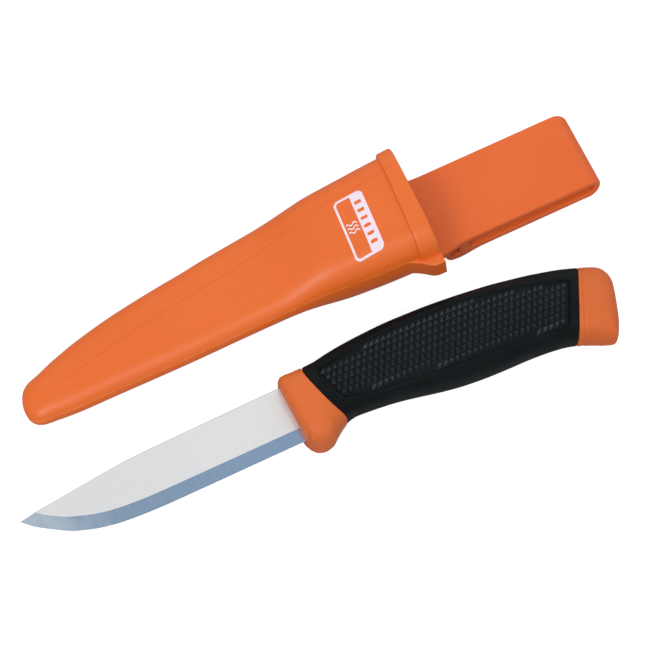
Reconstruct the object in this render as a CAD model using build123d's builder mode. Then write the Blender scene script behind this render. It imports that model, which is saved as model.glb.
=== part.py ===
from build123d import *
import os

# Fixed-blade craft knife lying beside its one-piece plastic belt sheath.
# Millimetres. +X runs along the blade from its point towards the butt,
# the sheath lies on the +Y side of the knife, +Z is up.
# The origin is on the table, under the middle of the whole set.

os.makedirs("parts", exist_ok=True)

# ----------------------------------------------------------------------------
# driving dimensions
# ----------------------------------------------------------------------------
# blade
blade_thickness = 2.5          # flat stock
blade_edge_land = 0.10         # thickness left at the cutting edge
tang_end_x = 176.0             # hidden tang, measured from the blade's point
tang_hole_r = 2.6              # moulding lock hole in the tang
tang_hole_x = 158.0

# handle
handle_mid_z = 10.5            # height of the blade's mid-plane over the table
grip_wall = 2.6                # soft grip over the hard core
grip_front = (106.9, -16.0, 113.4, -40.0)     # x, y, x, y of the front parting line
grip_back = (211.9, -22.5, 196.5, -52.0)      # x, y, x, y of the rear parting line

# sheath, in its own frame: x from its tip along its length, z = 0 on the plane
# that the blade lies in, then pitched and turned to how it lies on the table
sheath_tip = (-107.6, 0.9, 4.21)
sheath_yaw = -2.75
sheath_pitch = 6.8
mouth_x = 151.5
collar_x = 145.7
collar_proud = 1.3
sheath_wall = 2.0
pocket_floor_x = 4.0
drain_r = 1.75
drain_x = 13.0
blade_part_end_x = 90.0        # the moulding is kept as two abutting lengths, before and after here

# belt loop
strap_front_z = -11.0
strap_thickness = 2.7
belt_gap = 5.2
leaf_thickness = 2.7
fold_x = 210.8
strap_y0, strap_y1 = 8.9, 39.2
leaf_y0, leaf_y1 = 9.1, 39.0
hinge_gap_deg = 12.0
lip_bottom_z = -23.35

# whole set: the table centre under it, so that the origin is there
set_centre = (-7.2708, -7.9547)

# ----------------------------------------------------------------------------
# section tables
# ----------------------------------------------------------------------------
# blade: x, spine y, top of bevel y, cutting edge y, half thickness
blade_stations = [
    (0.0, -24.20, -24.22, -24.45, 0.09),
    (2.0, -24.00, -24.06, -26.50, 0.62),
    (4.0, -23.75, -24.00, -28.35, 1.10),
    (6.0, -23.55, -24.40, -29.75, 1.25),
    (8.0, -23.30, -25.90, -31.10, 1.25),
    (11.0, -23.05, -27.90, -33.05, 1.25),
    (14.0, -22.75, -29.70, -34.85, 1.25),
    (18.0, -22.30, -31.35, -36.45, 1.25),
    (22.0, -21.90, -32.75, -37.75, 1.25),
    (26.0, -21.50, -33.80, -38.70, 1.25),
    (30.0, -21.05, -34.50, -39.35, 1.25),
    (34.0, -20.70, -34.95, -39.75, 1.25),
    (38.0, -20.35, -35.25, -40.05, 1.25),
    (42.0, -20.10, -35.45, -40.22, 1.25),
    (50.0, -19.85, -35.60, -40.38, 1.25),
    (70.0, -19.55, -35.65, -40.42, 1.25),
    (101.0, -19.20, -35.70, -40.42, 1.25),
]

# handle: x, lower y, upper y, half thickness, corner radius
handle_stations = [
    (98.2, -41.5, -17.8, 7.90, 5.2),
    (99.2, -43.3, -17.1, 9.00, 6.3),
    (101.0, -45.0, -16.9, 9.60, 6.9),
    (103.5, -45.7, -17.0, 9.90, 7.2),
    (106.0, -45.2, -17.0, 9.95, 7.35),
    (109.0, -43.0, -16.7, 9.60, 7.5),
    (112.0, -41.0, -16.4, 9.20, 7.6),
    (115.0, -39.6, -15.9, 9.05, 7.75),
    (118.0, -39.1, -15.4, 9.00, 7.9),
    (122.0, -39.4, -14.9, 9.05, 8.1),
    (127.0, -39.9, -14.5, 9.25, 8.4),
    (133.0, -40.7, -14.2, 9.60, 8.7),
    (140.0, -42.1, -14.05, 10.00, 9.0),
    (148.0, -43.9, -14.3, 10.30, 9.2),
    (156.0, -45.3, -14.7, 10.47, 9.35),
    (164.0, -46.1, -15.4, 10.50, 9.4),
    (172.0, -46.5, -16.3, 10.35, 9.25),
    (180.0, -46.7, -17.4, 10.15, 9.05),
    (187.0, -47.2, -18.7, 9.95, 8.8),
    (193.0, -48.0, -19.9, 9.85, 8.6),
    (198.0, -49.3, -21.2, 9.75, 8.3),
    (203.0, -51.3, -22.7, 9.60, 7.9),
    (207.0, -53.4, -24.0, 9.30, 7.5),
    (210.0, -54.5, -25.0, 8.80, 7.1),
    (213.0, -50.6, -26.2, 8.00, 6.5),
    (215.5, -45.0, -27.2, 6.90, 5.6),
    (217.5, -40.0, -28.6, 5.30, 4.4),
    (218.9, -36.3, -30.6, 3.20, 2.7),
]

# sheath outside: x, lower y, upper y, half thickness, corner radius
sheath_stations = [
    (-0.8, 11.0, 16.2, 1.40, 1.30),
    (0.3, 9.0, 18.6, 2.55, 2.40),
    (1.5, 7.8, 20.3, 3.30, 3.15),
    (4.0, 6.8, 22.2, 4.40, 4.20),
    (8.0, 6.25, 24.0, 5.10, 4.90),
    (14.0, 5.9, 26.2, 5.40, 5.20),
    (22.0, 5.7, 28.6, 5.55, 5.35),
    (32.0, 5.6, 31.1, 5.65, 5.40),
    (45.0, 5.5, 33.6, 5.70, 5.45),
    (60.0, 5.45, 35.7, 5.75, 5.50),
    (75.0, 5.55, 37.6, 5.80, 5.50),
    (88.0, 5.6, 39.1, 5.85, 5.55),
    (95.0, 5.6, 39.8, 6.10, 5.70),
    (101.0, 5.5, 40.35, 7.40, 6.30),
    (106.0, 5.3, 40.8, 9.20, 7.20),
    (111.0, 5.0, 41.2, 10.90, 8.10),
    (117.0, 4.55, 41.7, 12.10, 8.70),
    (124.0, 4.15, 42.2, 12.60, 9.00),
    (132.0, 3.85, 42.6, 12.85, 9.20),
    (141.0, 3.65, 43.1, 12.95, 9.40),
    (mouth_x, 3.5, 43.7, 13.00, 9.50),
]


def section(lo, hi, half, rad, grow=0.0):
    """Rounded rectangle between lo and hi, grown outwards by grow."""
    w = hi - lo + 2 * grow
    t = 2 * (half + grow)
    r = min(max(rad + grow, 0.3), w / 2 - 0.02, t / 2 - 0.02)
    with Locations(((lo + hi) / 2, 0)):
        RectangleRounded(w, t, r)


# ----------------------------------------------------------------------------
# knife, built with the blade's mid-plane at z = 0
# ----------------------------------------------------------------------------
with BuildPart() as blade:
    for x, ys, yb, ye, t in blade_stations:
        with BuildSketch(Plane.YZ.offset(x)):
            e = blade_edge_land / 2
            with BuildLine():
                Polyline((ys, t), (yb, t), (ye, e), (ye, -e), (yb, -t), (ys, -t), close=True)
            make_face()
    loft(ruled=True)
    # hidden tang, narrower than the blade and drilled so the moulding locks it
    with BuildSketch(Plane.XY.offset(-blade_thickness / 2)):
        with BuildLine():
            Polyline((99.0, -22.5), (112.0, -21.0), (tang_end_x - 3, -26.0), (tang_end_x, -29.0),
                     (tang_end_x, -34.0), (tang_end_x - 3, -37.0), (112.0, -33.5), (99.0, -35.0), close=True)
        make_face()
        with Locations((tang_hole_x, -31.0)):
            Circle(tang_hole_r, mode=Mode.SUBTRACT)
    extrude(amount=blade_thickness)

# outside of the whole handle, guard to butt
with BuildPart() as core_outside:
    for x, lo, hi, h, r in handle_stations:
        with BuildSketch(Plane.YZ.offset(x)):
            section(lo, hi, h, r)
    loft()

# hard core under the soft grip
with BuildPart() as core_inside:
    for x, lo, hi, h, r in handle_stations:
        if 102.0 < x < 214.0:
            with BuildSketch(Plane.YZ.offset(x)):
                section(lo, hi, h, r, -grip_wall)
    loft()

# stretch of the handle that the soft grip covers, between slanting parting lines
with BuildPart() as grip_zone:
    with BuildSketch(Plane.XY.offset(-14)):
        x0, y0, x1, y1 = grip_front
        x2, y2, x3, y3 = grip_back
        k0 = (x1 - x0) / (y1 - y0)
        k1 = (x3 - x2) / (y3 - y2)
        with BuildLine():
            Polyline((x0 + k0 * (0 - y0), 0), (x2 + k1 * (0 - y2), 0),
                     (x2 + k1 * (-65 - y2), -65), (x0 + k0 * (-65 - y0), -65), close=True)
        make_face()
    extrude(amount=28)

with BuildPart() as handle_core:
    add(core_outside.part)
    add(grip_zone.part, mode=Mode.SUBTRACT)
    add(core_inside.part)
    add(blade.part, mode=Mode.SUBTRACT)

with BuildPart() as grip_sleeve:
    add(core_outside.part)
    add(grip_zone.part, mode=Mode.INTERSECT)
    add(core_inside.part, mode=Mode.SUBTRACT)

# ----------------------------------------------------------------------------
# sheath, in its own frame
# ----------------------------------------------------------------------------
with BuildPart() as sheath_body:
    for x, lo, hi, h, r in sheath_stations:
        with BuildSketch(Plane.YZ.offset(x)):
            section(lo, hi, h, r)
    loft()
    # collar round the mouth
    with BuildSketch(Plane.YZ.offset(collar_x)):
        section(3.55, 43.4, 13.0, 9.45, collar_proud)
    extrude(amount=mouth_x - collar_x)
    # thumb ramp that flares out of the straight side at the mouth
    with BuildSketch(Plane.XY.offset(-4.6)):
        with BuildLine():
            Polyline((132.0, 8.0), (132.0, 5.2), (137.0, 4.4))
            ThreePointArc((137.0, 4.4), (143.2, 2.2), (147.6, -1.4))
            Polyline((147.6, -1.4), (148.6, -1.9), (mouth_x - 0.6, -1.9), (mouth_x, -1.3), (mouth_x, 8.0), (132.0, 8.0))
        make_face()
    extrude(amount=9.2)
    # pocket: thin and wide for the blade, deep for the guard and handle
    for x, lo, hi, h, r in reversed(sheath_stations):
        if x > pocket_floor_x - 0.1:
            px = mouth_x + 0.01 if x > mouth_x - 0.1 else x
            with BuildSketch(Plane.YZ.offset(px)):
                section(lo, hi, h, r, -sheath_wall if x > 5 else -sheath_wall - 0.4)
    loft(mode=Mode.SUBTRACT)
    # drain hole through the back wall near the tip
    with BuildSketch(Plane.XY.offset(-9)):
        with Locations((drain_x, 15.5)):
            Circle(drain_r)
    extrude(amount=9, mode=Mode.SUBTRACT)

# the one moulding in two lengths: the slim blade end, and the deep mouth end
with BuildPart() as sheath_blade_end:
    add(sheath_body.part)
    split(bisect_by=Plane.YZ.offset(blade_part_end_x), keep=Keep.BOTTOM)

with BuildPart() as sheath_mouth_end:
    add(sheath_body.part)
    split(bisect_by=Plane.YZ.offset(blade_part_end_x), keep=Keep.TOP)

strap_back_z = strap_front_z - strap_thickness
leaf_front_z = strap_back_z - belt_gap
leaf_back_z = leaf_front_z - leaf_thickness
fold_z = (strap_front_z + leaf_back_z) / 2
fold_ro = (strap_front_z - leaf_back_z) / 2
fold_ri = belt_gap / 2

with BuildPart() as belt_strap:
    # flat strap, widening into the collar
    with BuildSketch(Plane.XY.offset(strap_back_z)):
        with BuildLine():
            Line((mouth_x, 43.2), (mouth_x, 6.9))
            Spline((mouth_x, 6.9), (156.0, 8.0), (164.0, strap_y0), tangents=((0.6, 1), (1, 0)))
            Line((164.0, strap_y0), (fold_x, strap_y0))
            Line((fold_x, strap_y0), (fold_x, strap_y1))
            Line((fold_x, strap_y1), (158.5, strap_y1))
            Spline((158.5, strap_y1), (154.0, 40.2), (mouth_x, 43.2), tangents=((-1, 0), (-0.35, 1)))
        make_face()
    extrude(amount=strap_thickness)
    # fold, stopping short of the leaf
    with BuildSketch(Plane.XZ.offset(-strap_y0)):
        with BuildLine():
            a = -90.0 + hinge_gap_deg
            CenterArc((fold_x, fold_z), fold_ro, a, 90.0 - a)
            Line((fold_x, fold_z + fold_ro), (fold_x, fold_z + fold_ri))
            CenterArc((fold_x, fold_z), fold_ri, a, 90.0 - a)
            Line(PolarLine((fold_x, fold_z), fold_ri, a, mode=Mode.PRIVATE) @ 1,
                 PolarLine((fold_x, fold_z), fold_ro, a, mode=Mode.PRIVATE) @ 1)
        make_face()
    extrude(amount=-(strap_y1 - strap_y0))

with BuildPart() as belt_clip_leaf:
    with BuildSketch(Plane.XZ.offset(-leaf_y0)):
        with BuildLine():
            Polyline((fold_x, leaf_front_z), (fold_x, leaf_back_z), (170.0, leaf_back_z))
            Spline((170.0, leaf_back_z), (165.5, leaf_back_z - 0.55), (161.0, lip_bottom_z),
                   (157.6, -22.4), (156.4, -20.9), (157.4, -19.6), tangents=((-1, 0), (1, 1)))
            Polyline((157.4, -19.6), (160.0, leaf_front_z + 0.1), (160.9, strap_back_z - 1.3), (161.7, strap_back_z - 0.5),
                     (163.7, strap_back_z - 0.5), (164.6, strap_back_z - 1.4), (165.5, leaf_front_z),
                     (fold_x, leaf_front_z))
        make_face()
    extrude(amount=-(leaf_y1 - leaf_y0))

# ----------------------------------------------------------------------------
# place everything in the set's frame and write it
# ----------------------------------------------------------------------------
cx, cy = set_centre
knife_place = Location((-125.12 - cx, 0.0 - cy, handle_mid_z))
sheath_place = (Location((sheath_tip[0] - cx, sheath_tip[1] - cy, sheath_tip[2]))
                * Location((0, 0, 0), (0, 0, sheath_yaw))
                * Location((0, 0, 0), (0, -sheath_pitch, 0)))

blade.part = blade.part.moved(knife_place)
handle_core.part = handle_core.part.moved(knife_place)
grip_sleeve.part = grip_sleeve.part.moved(knife_place)
sheath_blade_end.part = sheath_blade_end.part.moved(sheath_place)
sheath_mouth_end.part = sheath_mouth_end.part.moved(sheath_place)
belt_strap.part = belt_strap.part.moved(sheath_place)
belt_clip_leaf.part = belt_clip_leaf.part.moved(sheath_place)

blade.part.label = "blade"
handle_core.part.label = "handle_core"
grip_sleeve.part.label = "grip_sleeve"
sheath_blade_end.part.label = "sheath_blade_end"
sheath_mouth_end.part.label = "sheath_mouth_end"
belt_strap.part.label = "belt_strap"
belt_clip_leaf.part.label = "belt_clip_leaf"

export_step(blade.part, "parts/blade.step")
export_step(handle_core.part, "parts/handle_core.step")
export_step(grip_sleeve.part, "parts/grip_sleeve.step")
export_step(sheath_blade_end.part, "parts/sheath_blade_end.step")
export_step(sheath_mouth_end.part, "parts/sheath_mouth_end.step")
export_step(belt_strap.part, "parts/belt_strap.step")
export_step(belt_clip_leaf.part, "parts/belt_clip_leaf.step")

boxes = [p.part.bounding_box(optimal=True) for p in (blade, handle_core, grip_sleeve, sheath_blade_end, sheath_mouth_end, belt_strap, belt_clip_leaf)]
for axis in "XYZ":
    low = min(getattr(b.min, axis) for b in boxes)
    high = max(getattr(b.max, axis) for b in boxes)
    print(axis, round(low, 4), round(high, 4), "centre", round((low + high) / 2, 4))
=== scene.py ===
import math
import random

import bpy
import numpy as np
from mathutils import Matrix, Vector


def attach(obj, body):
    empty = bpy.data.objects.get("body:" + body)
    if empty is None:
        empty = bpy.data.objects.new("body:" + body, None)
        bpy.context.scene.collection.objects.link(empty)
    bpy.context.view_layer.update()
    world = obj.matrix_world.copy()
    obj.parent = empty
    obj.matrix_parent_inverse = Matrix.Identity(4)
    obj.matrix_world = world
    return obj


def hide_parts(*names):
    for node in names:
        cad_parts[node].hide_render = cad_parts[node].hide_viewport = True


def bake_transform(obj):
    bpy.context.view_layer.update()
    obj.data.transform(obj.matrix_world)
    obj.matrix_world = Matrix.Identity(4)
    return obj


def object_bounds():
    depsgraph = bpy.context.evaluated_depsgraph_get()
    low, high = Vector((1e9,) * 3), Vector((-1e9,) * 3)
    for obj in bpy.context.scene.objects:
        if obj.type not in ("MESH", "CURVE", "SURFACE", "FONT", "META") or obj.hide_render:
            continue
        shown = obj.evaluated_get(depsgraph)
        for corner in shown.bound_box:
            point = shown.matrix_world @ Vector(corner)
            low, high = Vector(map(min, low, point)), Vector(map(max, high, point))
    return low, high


# The visual model of a fixed-blade craft knife and its one-piece belt sheath,
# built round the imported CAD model. Tables are in millimetres in the knife's and
# the sheath's own frames; knife() and sheath() turn them into row-frame metres.

random.seed(7)
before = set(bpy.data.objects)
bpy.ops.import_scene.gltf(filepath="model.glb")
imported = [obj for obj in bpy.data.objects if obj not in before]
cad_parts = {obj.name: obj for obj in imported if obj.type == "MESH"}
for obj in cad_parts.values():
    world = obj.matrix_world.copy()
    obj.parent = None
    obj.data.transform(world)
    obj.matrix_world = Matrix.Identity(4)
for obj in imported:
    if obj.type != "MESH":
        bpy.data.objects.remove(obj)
cad_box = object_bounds()

# ---------------------------------------------------------------------------
# frames
# ---------------------------------------------------------------------------
YAW, PITCH = math.radians(-2.75), math.radians(6.8)
_rz = np.array([[math.cos(YAW), -math.sin(YAW), 0], [math.sin(YAW), math.cos(YAW), 0], [0, 0, 1]])
_ry = np.array([[math.cos(PITCH), 0, -math.sin(PITCH)], [0, 1, 0], [math.sin(PITCH), 0, math.cos(PITCH)]])
SM = _rz @ _ry
ST = np.array([-100.3292, 8.8547, 4.21])


def knife(p):
    return (np.asarray(p, float) + [-117.8492, 7.9547, 10.5]) / 1000.0


def sheath(p):
    return (np.asarray(p, float) @ SM.T + ST) / 1000.0


def pchip(x, y):
    """Monotone cubic through (x, y), held flat outside."""
    x, y = np.asarray(x, float), np.asarray(y, float)
    h, d = np.diff(x), np.diff(y) / np.diff(x)
    m = np.zeros_like(y)
    for i in range(1, len(x) - 1):
        if d[i - 1] * d[i] > 0:
            w1, w2 = 2 * h[i] + h[i - 1], h[i] + 2 * h[i - 1]
            m[i] = (w1 + w2) / (w1 / d[i - 1] + w2 / d[i])
    m[0], m[-1] = d[0], d[-1]

    def f(q):
        q = np.clip(np.asarray(q, float), x[0], x[-1])
        i = np.clip(np.searchsorted(x, q) - 1, 0, len(x) - 2)
        t = (q - x[i]) / h[i]
        return ((1 + 2 * t) * (1 - t) ** 2 * y[i] + t * (1 - t) ** 2 * h[i] * m[i]
                + t * t * (3 - 2 * t) * y[i + 1] + t * t * (t - 1) * h[i] * m[i + 1])
    return f


def smooth(a, b, t):
    s = np.clip((np.asarray(t, float) - a) / (b - a), 0, 1)
    return s * s * (3 - 2 * s)


def dense(knots, steps):
    """Sample positions through knots, with steps[i] spaces between knot i and i + 1."""
    out = [knots[0]]
    for a, b, n in zip(knots[:-1], knots[1:], steps):
        out += list(np.linspace(a, b, n + 1)[1:])
    return np.array(out)


# ---------------------------------------------------------------------------
# mesh building
# ---------------------------------------------------------------------------
class Build:
    def __init__(self):
        self.v, self.f, self.m, self.n = [], [], [], 0

    def points(self, p):
        p = np.asarray(p, float).reshape(-1, 3)
        self.v.append(p)
        self.n += len(p)
        return self.n - len(p)

    def face(self, idx, mat=0):
        self.f.append(tuple(int(i) for i in idx))
        self.m.append(mat)

    def grid(self, p, wrap=False, mat=0):
        """Quads over an (nu, nv, 3) array of points; wrap closes it along v."""
        nu, nv = p.shape[:2]
        o = self.points(p)
        last = nv if wrap else nv - 1
        for i in range(nu - 1):
            for j in range(last):
                k = (j + 1) % nv
                q = (o + i * nv + j, o + i * nv + k, o + (i + 1) * nv + k, o + (i + 1) * nv + j)
                self.f.append(q)
                self.m.append(mat if not callable(mat) else mat(i, j))
        return o

    def fan(self, ring, centre, flip=False, mat=0):
        c = self.points([centre])
        n = len(ring)
        for i in range(n):
            a, b = ring[i], ring[(i + 1) % n]
            self.face((a, b, c) if not flip else (b, a, c), mat)

    def make(self, name, place, mats, sharp=None, flip=False):
        v = np.concatenate(self.v)
        me = bpy.data.meshes.new(name)
        faces = [f[::-1] for f in self.f] if flip else self.f
        me.from_pydata(place(v).tolist(), [], faces)
        for m in mats:
            me.materials.append(m)
        if len(mats) > 1:
            me.polygons.foreach_set("material_index", np.array(self.m, np.int32))
        me.validate()
        me.update()
        me.shade_smooth()
        if sharp is not None:
            me.set_sharp_from_angle(angle=math.radians(sharp))
        o = bpy.data.objects.new(name, me)
        bpy.context.scene.collection.objects.link(o)
        return o


# ---------------------------------------------------------------------------
# materials
# ---------------------------------------------------------------------------
def lin(r, g, b):
    f = lambda c: (c / 255 / 12.92) if c / 255 <= 0.04045 else ((c / 255 + 0.055) / 1.055) ** 2.4
    return (f(r), f(g), f(b), 1.0)


class Nodes:
    def __init__(self, name):
        self.mat = bpy.data.materials.new(name)
        self.mat.use_nodes = True
        self.t = self.mat.node_tree
        self.t.nodes.clear()
        self.out = self.t.nodes.new("ShaderNodeOutputMaterial")
        self.bsdf = self.t.nodes.new("ShaderNodeBsdfPrincipled")
        self.t.links.new(self.bsdf.outputs["BSDF"], self.out.inputs["Surface"])
        self.co = self.t.nodes.new("ShaderNodeTexCoord").outputs["Object"]

    def new(self, kind, **kw):
        n = self.t.nodes.new(kind)
        for k, v in kw.items():
            setattr(n, k, v)
        return n

    def link(self, a, b):
        self.t.links.new(a, b)

    def scaled(self, sx, sy, sz):
        n = self.new("ShaderNodeVectorMath", operation="MULTIPLY")
        self.link(self.co, n.inputs[0])
        n.inputs[1].default_value = (sx, sy, sz)
        return n.outputs[0]

    def noise(self, scale, detail=2.0, rough=0.5, vec=None):
        n = self.new("ShaderNodeTexNoise")
        n.inputs["Scale"].default_value = scale
        n.inputs["Detail"].default_value = detail
        n.inputs["Roughness"].default_value = rough
        self.link(vec if vec is not None else self.co, n.inputs["Vector"])
        return n.outputs["Fac"]

    def voronoi(self, scale):
        n = self.new("ShaderNodeTexVoronoi")
        n.inputs["Scale"].default_value = scale
        self.link(self.co, n.inputs["Vector"])
        return n.outputs["Distance"]

    def remap(self, x, a, b, c, d):
        n = self.new("ShaderNodeMapRange")
        self.link(x, n.inputs["Value"])
        for k, v in zip(("From Min", "From Max", "To Min", "To Max"), (a, b, c, d)):
            n.inputs[k].default_value = v
        return n.outputs["Result"]

    def mix(self, fac, a, b, kind="MIX"):
        n = self.new("ShaderNodeMix", data_type="RGBA", blend_type=kind)
        if isinstance(fac, (int, float)):
            n.inputs["Factor"].default_value = fac
        else:
            self.link(fac, n.inputs["Factor"])
        for s, v in ((n.inputs[6], a), (n.inputs[7], b)):
            if isinstance(v, tuple):
                s.default_value = v
            else:
                self.link(v, s)
        return n.outputs[2]

    def math(self, op, a, b=None):
        n = self.new("ShaderNodeMath", operation=op)
        for s, v in zip(n.inputs, (a, b)):
            if v is None:
                continue
            if isinstance(v, (int, float)):
                s.default_value = v
            else:
                self.link(v, s)
        return n.outputs[0]

    def bump(self, heights):
        """heights: list of (height output, distance in metres); chained bumps."""
        prev = None
        for h, d in heights:
            n = self.new("ShaderNodeBump")
            n.inputs["Strength"].default_value = 1.0
            n.inputs["Distance"].default_value = d
            self.link(h, n.inputs["Height"])
            if prev is not None:
                self.link(prev, n.inputs["Normal"])
            prev = n.outputs["Normal"]
        self.link(prev, self.bsdf.inputs["Normal"])

    def edges(self, lo=0.52, hi=0.62):
        g = self.new("ShaderNodeNewGeometry")
        return self.remap(g.outputs["Pointiness"], lo, hi, 0.0, 1.0)


def plastic(name, base, warm, pale, grain=0.4, rough=(0.33, 0.47), spec=0.4, coat=0.0):
    """Injection-moulded satin plastic: slow colour drift, fine spark grain, and convex edges paled partly as scuffing
    and partly as a painted highlight.
    """
    n = Nodes(name)
    slow = n.remap(n.noise(14, 3, 0.55), 0.3, 0.7, 0.0, 1.0)
    col = n.mix(slow, base, warm)
    speck = n.remap(n.noise(1900, 2, 0.6), 0.25, 0.75, 0.0, 1.0)
    col = n.mix(n.math("MULTIPLY", speck, 0.10), col, pale)
    # faint flow lines from the mould, running along the part
    flow = n.remap(n.noise(1.0, 4, 0.6, n.scaled(35, 260, 260)), 0.45, 0.75, 0.0, 1.0)
    col = n.mix(n.math("MULTIPLY", flow, 0.10), col, warm)
    # convex edges painted paler: partly scuffing, partly a painted highlight standing in for light caught on the edges
    wear_and_edge_highlight = n.math("MULTIPLY", n.edges(), n.remap(n.noise(220, 4, 0.65), 0.40, 0.62, 0.15, 0.55))
    col = n.mix(wear_and_edge_highlight, col, pale)
    n.link(col, n.bsdf.inputs["Base Color"])
    r = n.remap(n.noise(60, 5, 0.6), 0.3, 0.7, rough[0], rough[1])
    scr = n.remap(n.noise(1.0, 3, 0.7, n.scaled(120, 2600, 900)), 0.60, 0.72, 0.0, 0.10)
    n.link(n.math("ADD", r, scr), n.bsdf.inputs["Roughness"])
    n.bsdf.inputs["Specular IOR Level"].default_value = spec
    if coat:
        n.bsdf.inputs["Coat Weight"].default_value = coat
        n.bsdf.inputs["Coat Roughness"].default_value = 0.25
    n.bump([(n.noise(2400, 2, 0.5), 0.000012 * grain * 2.5), (n.noise(420, 3, 0.5), 0.00002 * grain),
            (n.noise(45, 2, 0.5), 0.00012)])
    return n.mat


def rubber(name, base, pale, spec=0.15, lo=0.46, hi=0.64):
    n = Nodes(name)
    slow = n.remap(n.noise(30, 3, 0.6), 0.3, 0.7, 0.0, 1.0)
    col = n.mix(n.math("MULTIPLY", slow, 0.45), base, pale)
    dust = n.remap(n.noise(900, 4, 0.7), 0.56, 0.75, 0.0, 0.30)
    col = n.mix(dust, col, pale)
    # convex edges painted paler: partly rubbed wear, partly a painted highlight standing in for light caught on the
    # edges
    worn_and_edge_highlight = n.math("MULTIPLY", n.edges(0.53, 0.66), 0.5)
    col = n.mix(worn_and_edge_highlight, col, pale)
    n.link(col, n.bsdf.inputs["Base Color"])
    n.link(n.remap(n.noise(160, 4, 0.6), 0.3, 0.7, lo, hi), n.bsdf.inputs["Roughness"])
    n.bsdf.inputs["Specular IOR Level"].default_value = spec
    n.bump([(n.noise(3000, 3, 0.6), 0.00002), (n.voronoi(1500), 0.00001), (n.noise(350, 2, 0.5), 0.00002)])
    return n.mat


def steel(name, base, dark, rough, lines, across, metal=1.0):
    """Satin stainless: fine grinding lines, very slight clouding."""
    n = Nodes(name)
    vec = n.scaled(*lines)
    fine = n.noise(1.0, 3, 0.65, vec)
    cloud = n.remap(n.noise(26, 4, 0.6), 0.3, 0.7, 0.0, 1.0)
    col = n.mix(n.math("MULTIPLY", cloud, 0.35), base, dark)
    col = n.mix(n.remap(fine, 0.35, 0.75, 0.0, 0.10), col, dark)
    n.link(col, n.bsdf.inputs["Base Color"])
    n.bsdf.inputs["Metallic"].default_value = metal
    rr = n.remap(fine, 0.3, 0.7, rough - 0.03, rough + 0.04)
    spots = n.remap(n.noise(240, 4, 0.7), 0.62, 0.8, 0.0, 0.08)
    n.link(n.math("ADD", rr, spots), n.bsdf.inputs["Roughness"])
    n.bump([(fine, 0.00000030), (n.noise(1.0, 2, 0.5, n.scaled(*across)), 0.00000025)])
    return n.mat


M_SHEATH = plastic("orange_sheath_plastic", lin(232, 105, 24), lin(228, 99, 14), lin(242, 140, 84), 0.5, (0.34, 0.46), 0.46)
M_STRAP = plastic("orange_strap_plastic", lin(233, 107, 42), lin(227, 98, 34), lin(242, 142, 92), 0.7, (0.42, 0.54), 0.32)
M_HANDLE = plastic("orange_handle_plastic", lin(219, 106, 42), lin(213, 98, 34), lin(236, 140, 90), 0.9, (0.44, 0.58), 0.34)
M_GRIP = rubber("black_soft_grip", (0.0020, 0.0036, 0.0038, 1), (0.0075, 0.0112, 0.0120, 1), 0.10, 0.42, 0.56)
M_KNURL = rubber("black_knurl", (0.0048, 0.0082, 0.0100, 1), (0.0160, 0.0225, 0.0265, 1), 0.42, 0.30, 0.40)
M_FACE = steel("blade_flat", (0.725, 0.715, 0.705, 1), (0.67, 0.665, 0.67, 1), 0.34, (900, 60, 900), (40, 1500, 900), 0.62)
M_BEVEL = steel("blade_bevel", (0.57, 0.65, 0.71, 1), (0.49, 0.58, 0.65, 1), 0.20, (2600, 120, 900), (60, 1800, 900))
M_PRINT = plastic("badge_print", lin(244, 226, 234), lin(238, 216, 228), lin(250, 240, 244), 0.3, (0.40, 0.50), 0.3)

# ---------------------------------------------------------------------------
# blade
# ---------------------------------------------------------------------------
bs = np.array([
    (0.0, -24.20, -24.22, -24.45, 0.09), (2.0, -24.00, -24.06, -26.50, 0.62), (4.0, -23.75, -24.00, -28.35, 1.10),
    (6.0, -23.55, -24.40, -29.75, 1.25), (8.0, -23.30, -25.90, -31.10, 1.25), (11.0, -23.05, -27.90, -33.05, 1.25),
    (14.0, -22.75, -29.70, -34.85, 1.25), (18.0, -22.30, -31.35, -36.45, 1.25), (22.0, -21.90, -32.75, -37.75, 1.25),
    (26.0, -21.50, -33.80, -38.70, 1.25), (30.0, -21.05, -34.50, -39.35, 1.25), (34.0, -20.70, -34.95, -39.75, 1.25),
    (38.0, -20.35, -35.25, -40.05, 1.25), (42.0, -20.10, -35.45, -40.22, 1.25), (50.0, -19.85, -35.60, -40.38, 1.25),
    (70.0, -19.55, -35.65, -40.42, 1.25), (101.0, -19.20, -35.70, -40.42, 1.25)])
f_sp, f_bv, f_ed, f_t = (pchip(bs[:, 0], bs[:, k]) for k in (1, 2, 3, 4))


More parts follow.
